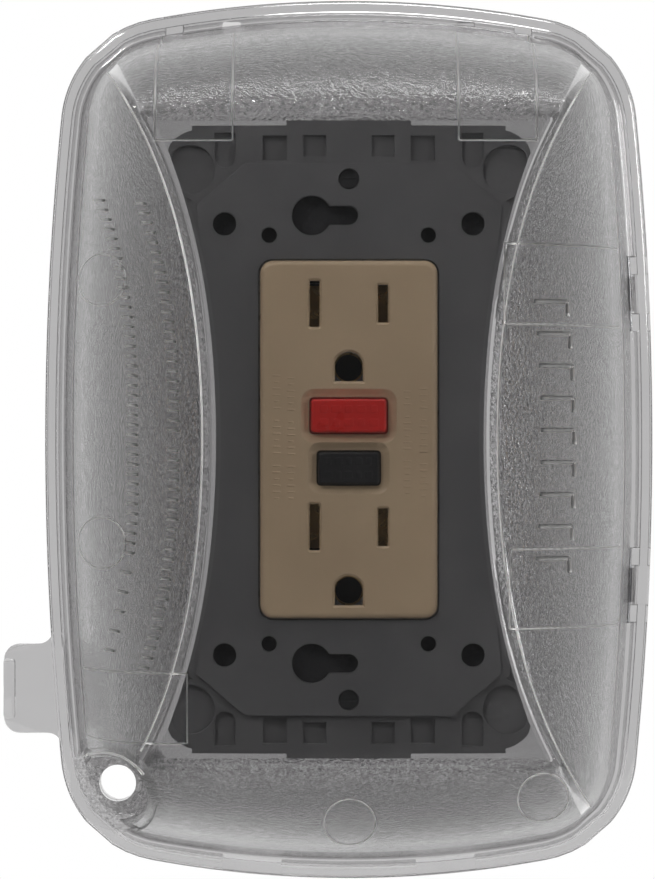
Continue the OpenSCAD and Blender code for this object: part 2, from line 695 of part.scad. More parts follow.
module toroid_case() color([0.16, 0.16, 0.18]) difference() {
    bar_y(0, toroid_z, 9.4, board_back, board_back + 6.6);
    ring_y(0, toroid_z, 8.5, 4.5, board_back - 1, board_back + 5.8);
    bar_y(0, toroid_z, 3.6, 0, 40);
}

module toroid(front) translate([0, front, toroid_z]) rotate([90, 0, 0]) rotate_extrude()
    translate([6.5, 0]) rounded(3.5, 2.4, 0.7);
module sense_toroid() color([0.62, 0.30, 0.12]) toroid(board_back + 1.5);
module grounding_toroid() color([0.62, 0.30, 0.12]) toroid(board_back + 4.3);

// ---- side terminals: z is the row, side is -1 for neutral and 1 for hot ----
terminal_z = 17;
terminal_y = 18;
pocket_floor_x = 17.2;
module terminal_plates(side) color(side > 0 ? brass : steel) for (z = [-terminal_z, terminal_z])
    scale([side, 1, 1]) difference() {
        union() {
            block([pocket_floor_x, 12.3, z - 6.9], [pocket_floor_x + 1, 23.7, z + 6.9]);
            block([13.6, board_front - 1, z + 3.3], [pocket_floor_x, board_front, z + 6.3]);
        }
        translate([10, terminal_y, z]) rotate([0, 90, 0]) cylinder(h = 20, r = 2.05);
    }
module neutral_terminals() terminal_plates(-1);
module hot_terminals() terminal_plates(1);

module pressure_plates() color(steel) for (z = [-terminal_z, terminal_z], side = [-1, 1])
    scale([side, 1, 1]) difference() {
        block([pocket_floor_x + 1.7, 13, z - 5.5], [pocket_floor_x + 3.1, 23, z + 5.5]);
        translate([10, terminal_y, z]) rotate([0, 90, 0]) cylinder(h = 20, r = 2.2);
    }

module terminal_screws(side) for (z = [-terminal_z, terminal_z]) scale([side, 1, 1]) difference() {
    union() {
        translate([pocket_floor_x + 3.2, terminal_y, z]) rotate([0, 90, 0]) cylinder(h = 2, r = 3.9);
        translate([15.7, terminal_y, z]) rotate([0, 90, 0]) cylinder(h = 5, r = 2);
    }
    block([pocket_floor_x + 4.4, terminal_y - 4, z - 0.5], [pocket_floor_x + 6, terminal_y + 4, z + 0.5]);
}
module silver_screws() color(steel) terminal_screws(-1);
module brass_screws() color(brass) terminal_screws(1);

// ---- rear housing ----
wall_t = 1.6;
module rear_housing() color([0.86, 0.85, 0.82]) difference() {
    slab(middle_back, body_depth) rounded(body_w, body_h, 1.6);
    // Room inside, between the four screw pockets and round the four posts
    difference() {
        slab(middle_back - 1, body_depth - wall_t) rounded(body_w - 2 * wall_t, body_h - 2 * wall_t, 1);
        for (z = [-terminal_z, terminal_z], side = [-1, 1]) scale([side, 1, 1])
            block([pocket_floor_x - wall_t, 10.4, z - 8.8], [body_w, body_depth, z + 8.8]);
        for (x = [-post_x, post_x], z = [-post_z, post_z]) bar_y(x, z, 2.6, 0, body_depth);
    }
    for (z = [-terminal_z, terminal_z], side = [-1, 1]) scale([side, 1, 1]) {
        block([pocket_floor_x, 12, z - 7.2], [body_w, 24, z + 7.2]);
        block([10, board_front - 1.1, z + 3.2], [pocket_floor_x + 1, board_front + 0.1, z + 6.4]);
        translate([10, terminal_y, z]) rotate([0, 90, 0]) cylinder(h = 20, r = 2.3);
    }
    for (x = [-post_x, post_x], z = [-post_z, post_z]) {
        bar_y(x, z, 1.3, 0, 40);
        bar_y(x, z, 2.2, body_depth - 1.2, 40);
    }
    // Push-in wire holes by each terminal
    for (x = [-19.2, 19.2], z = [-terminal_z, terminal_z], dz = [-4.3, 4.3])
        bar_y(x, z + dz, 1.3, 20, 40);
}

module assembly_screws() color(steel) for (x = [-post_x, post_x], z = [-post_z, post_z]) difference() {
    union() {
        bar_y(x, z, 2.1, body_depth - 1.2, body_depth);
        bar_y(x, z, 1.1, face_back + 0.6, body_depth - 1.2);
    }
    block([x - 1.4, body_depth - 0.6, z - 0.3], [x + 1.4, body_depth + 1, z + 0.3]);
    block([x - 0.3, body_depth - 0.6, z - 1.4], [x + 0.3, body_depth + 1, z + 1.4]);
}

lid();
base_frame();
wall_gasket();
mounting_plate();
device_gasket();
hinge_pins();
plate_screws();
face();
reset_button();
reset_post();
reset_spring();
test_button();
test_leaf();
yoke();
ground_contacts();
ground_screw();
box_screws();
screw_retainers();
middle_housing();
neutral_contact();
hot_contact();
moving_contacts();
contact_carriage();
latch_plate();
solenoid_plunger();
plunger_spring();
solenoid_bobbin();
solenoid_coil();
solenoid_frame();
circuit_board();
board_components();
toroid_case();
sense_toroid();
grounding_toroid();
neutral_terminals();
hot_terminals();
pressure_plates();
silver_screws();
brass_screws();
rear_housing();
assembly_screws();
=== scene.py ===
import json
import math

import bmesh
import bpy
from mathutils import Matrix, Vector


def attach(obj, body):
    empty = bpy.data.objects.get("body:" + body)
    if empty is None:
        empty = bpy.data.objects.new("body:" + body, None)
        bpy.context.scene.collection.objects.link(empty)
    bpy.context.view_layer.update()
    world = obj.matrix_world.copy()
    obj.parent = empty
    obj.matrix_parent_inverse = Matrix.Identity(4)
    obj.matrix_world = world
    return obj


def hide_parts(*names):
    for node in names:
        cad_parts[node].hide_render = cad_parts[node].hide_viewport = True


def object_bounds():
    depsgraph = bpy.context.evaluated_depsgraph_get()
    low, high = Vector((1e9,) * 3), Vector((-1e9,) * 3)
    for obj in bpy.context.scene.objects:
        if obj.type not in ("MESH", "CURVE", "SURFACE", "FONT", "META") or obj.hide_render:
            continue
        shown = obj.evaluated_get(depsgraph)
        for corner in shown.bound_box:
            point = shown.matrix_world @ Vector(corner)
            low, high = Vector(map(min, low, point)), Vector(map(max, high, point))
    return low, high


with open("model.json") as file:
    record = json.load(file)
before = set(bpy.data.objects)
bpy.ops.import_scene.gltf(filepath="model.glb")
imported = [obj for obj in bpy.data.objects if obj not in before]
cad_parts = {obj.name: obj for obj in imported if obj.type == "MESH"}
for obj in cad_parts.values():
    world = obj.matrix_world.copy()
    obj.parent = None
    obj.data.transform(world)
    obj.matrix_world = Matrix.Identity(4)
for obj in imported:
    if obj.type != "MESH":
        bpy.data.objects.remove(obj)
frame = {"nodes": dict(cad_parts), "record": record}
CAD_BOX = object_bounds()
MM = 0.001


# ---------------------------------------------------------------- materials


class Nodes:
    """A material's node tree with short calls for what these materials need."""

    def __init__(self, name):
        self.material = bpy.data.materials.new(name)
        self.material.use_nodes = True
        self.tree = self.material.node_tree
        self.tree.nodes.clear()
        self.output = self.add("ShaderNodeOutputMaterial")
        self.shader = self.add("ShaderNodeBsdfPrincipled")
        self.link(self.shader.outputs[0], self.output.inputs["Surface"])

    def add(self, kind, **values):
        node = self.tree.nodes.new(kind)
        for key, value in values.items():
            setattr(node, key, value)
        return node

    def link(self, a, b):
        self.tree.links.new(a, b)

    def set(self, **values):
        for key, value in values.items():
            self.shader.inputs[key.replace("_", " ")].default_value = value

    def place(self):
        return self.add("ShaderNodeTexCoord").outputs["Object"]

    def noise(self, scale, detail=3.0, roughness=0.55, stretch=None):
        node = self.add("ShaderNodeTexNoise")
        node.inputs["Scale"].default_value = scale
        node.inputs["Detail"].default_value = detail
        node.inputs["Roughness"].default_value = roughness
        source = self.place()
        if stretch:
            mapping = self.add("ShaderNodeMapping")
            mapping.inputs["Scale"].default_value = stretch
            self.link(source, mapping.inputs["Vector"])
            source = mapping.outputs["Vector"]
        self.link(source, node.inputs["Vector"])
        return node.outputs["Fac"]

    def grains(self, scale):
        node = self.add("ShaderNodeTexVoronoi")
        node.inputs["Scale"].default_value = scale
        self.link(self.place(), node.inputs["Vector"])
        return node.outputs["Distance"]

    def ramp(self, value, low, high, start=0.35, end=0.65):
        node = self.add("ShaderNodeMapRange")
        node.inputs["From Min"].default_value = start
        node.inputs["From Max"].default_value = end
        node.inputs["To Min"].default_value = low
        node.inputs["To Max"].default_value = high
        self.link(value, node.inputs["Value"])
        return node.outputs["Result"]

    def blend_colours(self, factor, a, b):
        node = self.add("ShaderNodeMix", data_type="RGBA")
        node.inputs["A"].default_value = a
        node.inputs["B"].default_value = b
        self.link(factor, node.inputs["Factor"])
        return node.outputs["Result"]

    def bump(self, height, distance, strength=1.0, below=None):
        node = self.add("ShaderNodeBump")
        node.inputs["Strength"].default_value = strength
        node.inputs["Distance"].default_value = distance
        self.link(height, node.inputs["Height"])
        if below:
            self.link(below, node.inputs["Normal"])
        return node.outputs["Normal"]

    def normal(self, socket):
        self.link(socket, self.shader.inputs["Normal"])

    def lamps_pass(self, tint):
        """Lets light reach what is behind the glass."""
        path = self.add("ShaderNodeLightPath")
        clear = self.add("ShaderNodeBsdfTransparent")
        clear.inputs["Color"].default_value = tint
        mix = self.add("ShaderNodeMixShader")
        self.link(path.outputs["Is Shadow Ray"], mix.inputs[0])
        self.link(self.shader.outputs[0], mix.inputs[1])
        self.link(clear.outputs[0], mix.inputs[2])
        self.link(mix.outputs[0], self.output.inputs["Surface"])


def moulded_plastic(name, colour, shade, roughness, grain=900.0, depth=0.00002):
    """Moulded plastic: fine texture, slight mottling and uneven gloss."""
    n = Nodes(name)
    patches = n.noise(70, 4)
    n.link(n.blend_colours(n.ramp(patches, 0, 1), colour, shade), n.shader.inputs["Base Color"])
    n.link(n.ramp(n.noise(140, 3), roughness - 0.05, roughness + 0.07), n.shader.inputs["Roughness"])
    n.normal(n.bump(n.noise(grain, 2), depth, 0.5))
    n.set(Specular_IOR_Level=0.45)
    return n.material


def plated_metal(name, colour, shade, roughness, stretch=(1, 1, 1), metallic=1.0):
    """Plated or plain metal with faint rolling lines and stains."""
    n = Nodes(name)
    stains = n.noise(160, 5, 0.6)
    n.link(n.blend_colours(n.ramp(stains, 0, 1), colour, shade), n.shader.inputs["Base Color"])
    n.link(n.ramp(n.noise(500, 3, 0.5, stretch), roughness - 0.07, roughness + 0.1),
           n.shader.inputs["Roughness"])
    n.normal(n.bump(n.noise(900, 2, 0.5, stretch), 0.00001, 0.4))
    n.set(Metallic=metallic)
    return n.material


def foam(name, colour, shade):
    """Closed-cell foam with small open pores on the cut face."""
    n = Nodes(name)
    n.link(n.blend_colours(n.ramp(n.noise(260, 4), 0, 1), colour, shade), n.shader.inputs["Base Color"])
    n.link(n.ramp(n.noise(400, 2), 0.85, 0.98), n.shader.inputs["Roughness"])
    n.normal(n.bump(n.grains(1400), 0.00015, 0.7))
    return n.material


def clear_plastic(name, tint, roughness, stipple_and_glints=0.0, ior=1.46):
    """Smoked polycarbonate; the stipple weight sets the bump texture of the steep walls and a painted
    sparkle: pale and dark flecks in the colour stand in for glints.
    """
    n = Nodes(name)
    n.set(Transmission_Weight=1.0, IOR=ior)
    # Pale and dark copies of the tint: painted glints and painted shade for the flecks
    dark, pale = (tuple(c * k for c in tint[:3]) + (1,) for k in (1 - 0.8 * stipple_and_glints, 1 + 0.8 * stipple_and_glints))
    if stipple_and_glints:
        grain = n.noise(1700, 2, 0.6)
        # Painted sparkle: the stipple noise also flecks the colour between the two copies
        n.link(n.blend_colours(n.ramp(grain, 0, 1, 0.32, 0.68), dark, pale), n.shader.inputs["Base Color"])
        n.link(n.ramp(n.noise(700, 3), roughness - 0.05, roughness + 0.1), n.shader.inputs["Roughness"])
        n.normal(n.bump(grain, 0.00032, stipple_and_glints, n.bump(n.noise(600, 2), 0.00006, 0.4 * stipple_and_glints)))
    else:
        cloud = n.ramp(n.noise(45, 2), 0, 1)
        n.link(n.blend_colours(cloud, tint, tuple(c * 0.95 for c in tint[:3]) + (1,)),
               n.shader.inputs["Base Color"])
        n.link(n.ramp(n.noise(200, 2), roughness, roughness + 0.03), n.shader.inputs["Roughness"])
    n.lamps_pass(tuple(c ** 0.5 for c in tint[:3]) + (1,))
    return n.material


SMOKE = (0.345, 0.341, 0.343, 1.0)
PALE_SMOKE = (0.50, 0.495, 0.498, 1.0)
LIGHT_SMOKE = (0.62, 0.613, 0.617, 1.0)
materials = {
    "window": clear_plastic("smoky_window", (0.372, 0.37, 0.372, 1.0), 0.01, ior=1.3),
    # Steep walls: stippled bump, with painted glint flecks in the colour
    "stippled": clear_plastic("smoky_stippled_painted_glints", SMOKE, 0.13, 0.7),
    # Pale copy of the smoky plastic for the raised lines, crease lines and foot bead: painted highlights
    "edge": clear_plastic("smoky_edge_painted_highlight", (0.86, 0.85, 0.84, 1.0), 0.3),
    "band": clear_plastic("smoky_band", PALE_SMOKE, 0.05),
    "base": clear_plastic("smoky_base", LIGHT_SMOKE, 0.06),
    "plate": moulded_plastic("plate_plastic", (0.135, 0.135, 0.137, 1), (0.155, 0.155, 0.157, 1), 0.42),
    "tan": moulded_plastic("ivory_plastic", (0.66, 0.50, 0.325, 1), (0.62, 0.465, 0.30, 1), 0.33, 1400),
    "red": moulded_plastic("red_plastic", (0.80, 0.030, 0.022, 1), (0.72, 0.024, 0.018, 1), 0.3),
    "black": moulded_plastic("black_plastic", (0.018, 0.018, 0.019, 1), (0.030, 0.030, 0.031, 1), 0.36),
    "housing": moulded_plastic("housing_plastic", (0.76, 0.74, 0.68, 1), (0.70, 0.68, 0.62, 1), 0.46),
    "fibre": moulded_plastic("fibre_washer", (0.70, 0.66, 0.57, 1), (0.58, 0.54, 0.45, 1), 0.75),
    "board": moulded_plastic("board_laminate", (0.035, 0.19, 0.08, 1), (0.05, 0.25, 0.11, 1), 0.35),
    "zinc": plated_metal("zinc_steel", (0.60, 0.61, 0.63, 1), (0.50, 0.51, 0.53, 1), 0.33, (8, 1, 1)),
    "brass": plated_metal("brass", (0.78, 0.56, 0.24, 1), (0.66, 0.46, 0.19, 1), 0.28, (1, 8, 1)),
    "copper": plated_metal("copper_wire", (0.62, 0.27, 0.12, 1), (0.50, 0.20, 0.08, 1), 0.30, (1, 1, 30)),
    "green": plated_metal("green_screw", (0.05, 0.36, 0.13, 1), (0.04, 0.28, 0.10, 1), 0.32, metallic=0.6),
    "dark_screw": plated_metal("dark_screw", (0.045, 0.045, 0.048, 1), (0.07, 0.07, 0.073, 1), 0.38,
                               metallic=0.5),
    "foam": foam("foam_gasket", (0.028, 0.028, 0.030, 1), (0.042, 0.042, 0.044, 1)),
}

NODE_SLOT = {s["node"]: s["material_slot"] for s in frame["record"]["subparts"]}
SLOT_MATERIAL = {
    "smoky_clear": "base", "dark_plastic": "plate", "ivory_plastic": "tan", "red_plastic": "red",
    "black_plastic": "black", "housing_plastic": "housing", "zinc_steel": "zinc", "brass": "brass",
    "copper_wire": "copper", "green_screw": "green", "dark_screw": "dark_screw", "foam": "foam",
    "board": "board", "fibre": "fibre",
}


def finish_node(name, width=0.2, angle=32):
    """Gives a CAD node its material and small rounded edges."""
    ob = frame["nodes"][name]
    ob.data.materials.clear()
    ob.data.materials.append(materials[SLOT_MATERIAL[NODE_SLOT[name]]])
    ob.modifiers.new("weld", "WELD").merge_threshold = 0.000004
    flat = ob.modifiers.new("flat", "DECIMATE")
    flat.decimate_type = "DISSOLVE"
    flat.angle_limit = math.radians(0.6)
    bevel = ob.modifiers.new("bevel", "BEVEL")
    bevel.width = width * MM
    bevel.segments = 2
    bevel.limit_method = "ANGLE"
    bevel.angle_limit = math.radians(angle)
    normals = ob.modifiers.new("normals", "WEIGHTED_NORMAL")
    normals.keep_sharp = True
    normals.weight = 80


# ---------------------------------------------------------------- lid surface

RIM_HALF_W, RIM_HALF_H, LID_DEPTH, WALL = 56.3, 81.3, 85.85, 2.2
SIDE_R, END_R, CORNER_R = 600.0, 200.0, 20.5
SIDE_C = Vector((RIM_HALF_W - SIDE_R, 0))
END_C = Vector((0, RIM_HALF_H - END_R))
SKIRT_Y, RIM_Y, FOOT_Y, FOOT_INSET = -14.0, -4.0, -28.0, 5.8
WINDOW_H, CREASE_W, CREASE_END_Z, CREASE_BOW = 58.0, 25.9, 67.2, 0.002642
LOBE_TURN = math.radians(70)
ROWS, LOBE_COLS, FRONT_COLS, WINDOW_SHARE = 100, 26, 24, 0.62
HINGE_X, HINGE_Y, HINGE_Z, KNUCKLE_HALF, PIN_BORE_R = 50.5, -8.5, 27.0, 3.2, 1.55
LOCK_X, LOCK_Z, POCKET_R, PADLOCK_R = -42.8, -63.6, 7.0, 3.4


def circles_meet(c1, r1, c2, r2):
    gap = (c2 - c1).length
    along = (c2 - c1) / gap
    a = (r1 * r1 - r2 * r2 + gap * gap) / (2 * gap)
    h = math.sqrt(r1 * r1 - a * a)
    side = Vector((-along.y, along.x))
    return max((c1 + along * a + side * h, c1 + along * a - side * h), key=lambda p: p.x)


CORNER_C = circles_meet(SIDE_C, SIDE_R - CORNER_R, END_C, END_R - CORNER_R)


def reach_x(z, inset):
    """Half width of the outline at a height."""
    if abs(z) < CORNER_C.y:
        return SIDE_C.x + math.sqrt((SIDE_R - inset) ** 2 - z * z)
    return CORNER_C.x + math.sqrt(max(0, (CORNER_R - inset) ** 2 - (abs(z) - CORNER_C.y) ** 2))


def reach_z(x, inset):
    """Half height of the outline at a distance from the middle."""
    if abs(x) < CORNER_C.x:
        return END_C.y + math.sqrt((END_R - inset) ** 2 - x * x)
    return CORNER_C.y + math.sqrt(max(0, (CORNER_R - inset) ** 2 - (abs(x) - CORNER_C.x) ** 2))


def shifted(x, z, to):
    """A point moved square to the outline, to another inset."""
    p = Vector((abs(x), abs(z)))
    if math.atan2(p.y, p.x - SIDE_C.x) < math.atan2(CORNER_C.y, CORNER_C.x - SIDE_C.x):
        centre, radius = SIDE_C, SIDE_R
    elif math.atan2(p.x, p.y - END_C.y) < math.atan2(CORNER_C.x, CORNER_C.y - END_C.y):
        centre, radius = END_C, END_R
    else:
        centre, radius = CORNER_C, CORNER_R
    moved = centre + (p - centre).normalized() * (radius - to)
    return math.copysign(moved.x, x), math.copysign(moved.y, z)


CREASE_END_X = reach_x(CREASE_END_Z, FOOT_INSET)
CREASE_FLARE = (CREASE_END_X - CREASE_W - CREASE_BOW * CREASE_END_Z ** 2) / CREASE_END_Z ** 4


def crease_x(z):
    return CREASE_W + CREASE_BOW * z * z + CREASE_FLARE * z ** 4


def row(s):
    """(crease height, rise, depth) of row s, from -1 at the bottom to 1 at the top."""
    if abs(s) <= WINDOW_SHARE:
        return WINDOW_H * s / WINDOW_SHARE, 0.0, 1.0
    a = math.pi / 2 * (abs(s) - WINDOW_SHARE) / (1 - WINDOW_SHARE)
    z = WINDOW_H + (CREASE_END_Z - WINDOW_H) * math.sin(a)
    return math.copysign(z, s), math.sin(a), math.cos(a)


def lobe_point(s, u, t):
    """A point of the right lobe: u from 0 at the foot to 1 at the crease, t in from the outside."""
    zc, _rise, depth = row(s)
    y_row = FOOT_Y + (-(LID_DEPTH - t) - FOOT_Y) * depth
    xc, xb, a = crease_x(zc) - t, reach_x(zc, FOOT_INSET) - t, LOBE_TURN * u
    x = xb + (xc - xb) * (1 - math.cos(a)) / (1 - math.cos(LOBE_TURN))
    y = FOOT_Y + (y_row - FOOT_Y) * math.sin(a) / math.sin(LOBE_TURN)
    return Vector((x, y, zc * reach_z(0, FOOT_INSET + t) / reach_z(0, FOOT_INSET)))


def front_point(s, c, t):
    """A point of the front: c from 0 in the middle to 1 at the right crease."""
    zc, rise, depth = row(s)
    y = FOOT_Y + (-(LID_DEPTH - t) - FOOT_Y) * depth
    lift = math.copysign(rise * (reach_z(CREASE_END_X * c, FOOT_INSET) - CREASE_END_Z), s)
    z = (zc + lift) * reach_z(0, FOOT_INSET + t) / reach_z(0, FOOT_INSET)
    return Vector(((crease_x(zc) - t) * c, y, z))


ROUND_STEPS, LOBE_ROUND, FRONT_ROUND = 4, 0.978, 0.962


def half_row(s, t):
    """Points from the foot on the right to the middle, with the crease rounded."""
    points = [lobe_point(s, LOBE_ROUND * i / LOBE_COLS, t) for i in range(LOBE_COLS)]
    a, b, c = lobe_point(s, LOBE_ROUND, t), lobe_point(s, 1, t), front_point(s, FRONT_ROUND, t)
    for i in range(ROUND_STEPS + 1):
        k = i / ROUND_STEPS
        points.append(a * (1 - k) ** 2 + b * 2 * k * (1 - k) + c * k * k)
    points += [front_point(s, FRONT_ROUND * (1 - i / FRONT_COLS), t) for i in range(1, FRONT_COLS + 1)]
    return points


WINDOW, STIPPLED, BAND = 0, 1, 2
OUTER_RINGS = [(5.2, -23.5, STIPPLED), (4.55, -18.8, STIPPLED),
               (4.05, -15.2, STIPPLED), (3.9, -14.4, STIPPLED),
               (3.6, -14.08, BAND), (3.2, -14.0, BAND), (1.2, -14.0, BAND), (0.6, -13.85, BAND),
               (0.17, -13.45, BAND), (0.0, -12.9, BAND), (0.0, -9.0, BAND), (0.0, -4.5, BAND),
               (0.12, -4.14, BAND), (0.4, -4.0, BAND)]
INNER_RINGS = [(7.4, -23.5, STIPPLED), (6.75, -18.6, STIPPLED), (6.2, -12.6, STIPPLED), (5.6, -11.8, BAND),
               (3.5, -11.8, BAND), (2.7, -11.6, BAND), (2.3, -11.1, BAND), (2.2, -10.4, BAND),
               (2.2, -4.5, BAND), (2.08, -4.14, BAND), (1.8, -4.0, BAND)]


def lid_skin(t, rings):
    """One skin of the lid, t in from the outside: (points, faces, zones, loop at the rim)."""
    points, faces, zones, grid = [], [], [], []
    split = LOBE_COLS + ROUND_STEPS
    for j in range(ROWS + 1):
        s = 2 * j / ROWS - 1
        half = half_row(s, t)
        line = half + [Vector((-p.x, p.y, p.z)) for p in reversed(half[:-1])]
        if abs(s) == 1:
            corner = lobe_point(s, 0, t)
            for i in range(split + 1):
                line[i] = corner
                line[-1 - i] = Vector((-corner.x, corner.y, corner.z))
        index = []
        for i, p in enumerate(line):
            if index and (p - Vector(points[-1])).length < 1e-6:
                index.append(index[-1])
                continue
            points.append(tuple(p))
            index.append(len(points) - 1)
        grid.append(index)
    cols = len(grid[0]) - 1
    for j in range(ROWS):
        for i in range(cols):
            ring = list(dict.fromkeys([grid[j][i], grid[j + 1][i], grid[j + 1][i + 1], grid[j][i + 1]]))
            if len(ring) > 2:
                faces.append(ring)
                flat = abs(2 * (j + 0.5) / ROWS - 1) < WINDOW_SHARE
                column = min(i, cols - 1 - i)
                if flat and column >= split:
                    zones.append(WINDOW)
                # The rounded crease strip takes the paler band material: real rounding with a painted
                # highlight line
                elif LOBE_COLS <= column < split:
                    zones.append(BAND)
                else:
                    zones.append(STIPPLED)
    loop = [grid[j][0] for j in range(ROWS)] + [grid[ROWS][i] for i in range(split, cols - split)]
    loop += [grid[j][cols] for j in range(ROWS, 0, -1)]
    loop += [grid[0][i] for i in range(cols - split, split, -1)]
    for inset, y, zone in rings:
        start = len(points)
        for p in loop:
            x, z = shifted(points[p][0], points[p][2], inset)
            points.append((x, y, z))
        new = list(range(start, len(points)))
        for m, n in zip(range(len(new)), list(range(1, len(new))) + [0]):
            faces.append([loop[m], loop[n], new[n], new[m]])
            zones.append(zone)
        loop = new
    return points, faces, zones, loop


# ---------------------------------------------------------------- mesh helpers


def add_mesh(name, points, faces, mats, zones=None, smooth=True):
    """A mesh object in metres, from points in millimetres, with its faces turned outwards."""
    mesh = bpy.data.meshes.new(name)
    mesh.from_pydata([tuple(c * MM for c in p) for p in points], [], faces)
    for m in mats:
        mesh.materials.append(m)
    if zones:
        mesh.polygons.foreach_set("material_index", zones)
    bm = bmesh.new()
    bm.from_mesh(mesh)
    bmesh.ops.recalc_face_normals(bm, faces=bm.faces)
    bm.to_mesh(mesh)
    bm.free()
    mesh.polygons.foreach_set("use_smooth", [smooth] * len(mesh.polygons))
    ob = bpy.data.objects.new(name, mesh)
    bpy.context.scene.collection.objects.link(ob)
    return ob


def apply_modifiers(ob):
    mesh = bpy.data.meshes.new_from_object(ob.evaluated_get(bpy.context.evaluated_depsgraph_get()))
    ob.modifiers.clear()
    ob.data = mesh


def cut_or_add(ob, others, operation):
    """Booleans each of the others into the object, and drops them."""
    for other in others:
        modifier = ob.modifiers.new("boolean", "BOOLEAN")
        modifier.operation = operation
        modifier.solver = "EXACT"
        modifier.object = other
        apply_modifiers(ob)
        bpy.data.objects.remove(other)


def rounded_box(low, high, edge=0.4, zone=BAND, segments=3, name="block"):
    """A closed box between two corners, in millimetres, with rounded edges."""
    bm = bmesh.new()
    bmesh.ops.create_cube(bm, size=1)
    for v in bm.verts:
        v.co = [(a + b) / 2 + c * (b - a) for a, b, c in zip(low, high, v.co)]
    if edge:
        bmesh.ops.bevel(bm, geom=bm.edges[:], offset=edge, segments=segments, profile=0.5, affect="EDGES")
    points, faces = [v.co.copy() for v in bm.verts], [[v.index for v in f.verts] for f in bm.faces]
    bm.free()
    return add_mesh(name, points, faces, LID_MATERIALS, [zone] * len(faces))


def turned(profile, axis_point, axis="Y", steps=64, zone=BAND, name="turned"):
    """A closed solid of revolution: profile is (radius, place along the axis) pairs, from axis to axis."""
    points, faces = [], []
    rings = []
    for r, along in profile:
        ring = []
        for k in range(1 if r == 0 else steps):
            a = 2 * math.pi * k / steps
            u, v = r * math.cos(a), r * math.sin(a)
            x, z = axis_point
            points.append((x + u, along, z + v) if axis == "Y" else (x + u, z + v, along))
            ring.append(len(points) - 1)
        rings.append(ring)
    for a, b in zip(rings, rings[1:]):
        for k in range(steps):
            quad = [a[k % len(a)], a[(k + 1) % len(a)], b[(k + 1) % len(b)], b[k % len(b)]]
            quad = list(dict.fromkeys(quad))
            if len(quad) > 2:
                faces.append(quad)
    return add_mesh(name, points, faces, LID_MATERIALS, [zone] * len(faces))


def loft(name, outline, steps, centre, mats, zone=0):
    """Closed solid through (inset, y) steps, from the front to the back."""
    points, faces = [], []
    for inset, y in steps:
        points += [(centre[0] + x, y, centre[1] + z) for x, z in outline(inset)]
    n = len(points) // len(steps)
    for k in range(len(steps) - 1):
        for m in range(n):
            a, b = k * n + m, k * n + (m + 1) % n
            faces.append([a, b, b + n, a + n])
    faces += [list(range(n)), list(range(len(points) - n, len(points)))]
    return add_mesh(name, points, faces, mats, [zone] * len(faces))


LID_MATERIALS = [materials["window"], materials["stippled"], materials["band"]]


def cylinder(x, z, r, front, back, steps=64, zone=BAND):
    return turned([(0, front), (r, front), (r, back), (0, back)], (x, z), steps=steps, zone=zone)


# ---------------------------------------------------------------- lid


def lid_shell():
    outer, inner = lid_skin(0, OUTER_RINGS), lid_skin(WALL, INNER_RINGS)
    base = len(outer[0])
    faces = outer[1] + [[i + base for i in f] for f in inner[1]]
    zones = outer[2] + inner[2]
    a, b = outer[3], [i + base for i in inner[3]]
    for m in range(len(a)):
        n = (m + 1) % len(a)
        faces.append([a[m], a[n], b[n], b[m]])
        zones.append(BAND)
    return add_mesh("lid_bubble", outer[0] + inner[0], faces, LID_MATERIALS, zones)


def lid_block(t):
    """The lid's outside as one solid, t smaller."""
    rings = [(4 + t, SKIRT_Y + t, STIPPLED), (t, SKIRT_Y + t, BAND), (t, RIM_Y, BAND)]
    points, faces, zones, loop = lid_skin(t, rings)
    faces.append(loop)
    return add_mesh("block", points, faces, LID_MATERIALS, zones + [BAND])


def padlock_cup():
    cup = turned([(0, -90), (POCKET_R + WALL, -90), (POCKET_R + WALL, SKIRT_Y + WALL + 0.6),
                  (0, SKIRT_Y + WALL + 0.6)], (LOCK_X, LOCK_Z), zone=STIPPLED)
    pocket = turned([(0, -91), (POCKET_R, -91), (POCKET_R, SKIRT_Y - 1.0), (POCKET_R - 0.3, SKIRT_Y - 0.3),
                     (POCKET_R - 1.0, SKIRT_Y), (4.8, SKIRT_Y), (4.5, SKIRT_Y - 0.6), (0, SKIRT_Y - 0.6)],
                    (LOCK_X, LOCK_Z), zone=STIPPLED)
    cut_or_add(cup, [pocket], "DIFFERENCE")
    cut_or_add(cup, [lid_block(0.4)], "INTERSECT")
    return cup


def lug_blocks():
    """Hinge lugs on the right, and the same lugs at the top, unused."""
    near, far = KNUCKLE_HALF + 0.4, KNUCKLE_HALF + 3.8
    for z in (-HINGE_Z, HINGE_Z):
        for low, high in ((z - far, z - near), (z + near, z + far)):
            yield rounded_box((47.2, -12.9, low), (55.1, -5.6, high))
    for x in (-HINGE_Z, HINGE_Z):
        for low, high in ((x - far, x - near), (x + near, x + far)):
            yield rounded_box((low, -12.9, RIM_HALF_H - 9.2), (high, -5.6, RIM_HALF_H - 4))


def scoop():
    """Slot from the padlock well out to the corner of the rim, between the front and the band."""
    cutter = rounded_box((-20, -90, -5), (0, SKIRT_Y, 5), 1.2, STIPPLED)
    turn = math.radians(45)
    for v in cutter.data.vertices:
        x, z = v.co.x, v.co.z
        v.co.x = LOCK_X * MM + x * math.cos(turn) - z * math.sin(turn)
        v.co.z = LOCK_Z * MM + x * math.sin(turn) + z * math.cos(turn)
    return cutter


def moved_in(points, inset):
    """The tab's outline, run anticlockwise, moved inwards except where it meets the rim."""
    moved = []
    for k, p in enumerate(points):
        a, b = points[k - 1], points[(k + 1) % len(points)]
        along = Vector((b[0] - a[0], b[1] - a[1])).normalized()
        share = inset * min(1, max(0, -57.8 - p[0]))
        moved.append((p[0] - along.y * share, p[1] + along.x * share))
    return moved


def arc(cx, cz, r, start, end, steps=8):
    turn = [math.radians(start + (end - start) * k / steps) for k in range(steps + 1)]
    return [(cx + r * math.cos(a), cz + r * math.sin(a)) for a in turn]


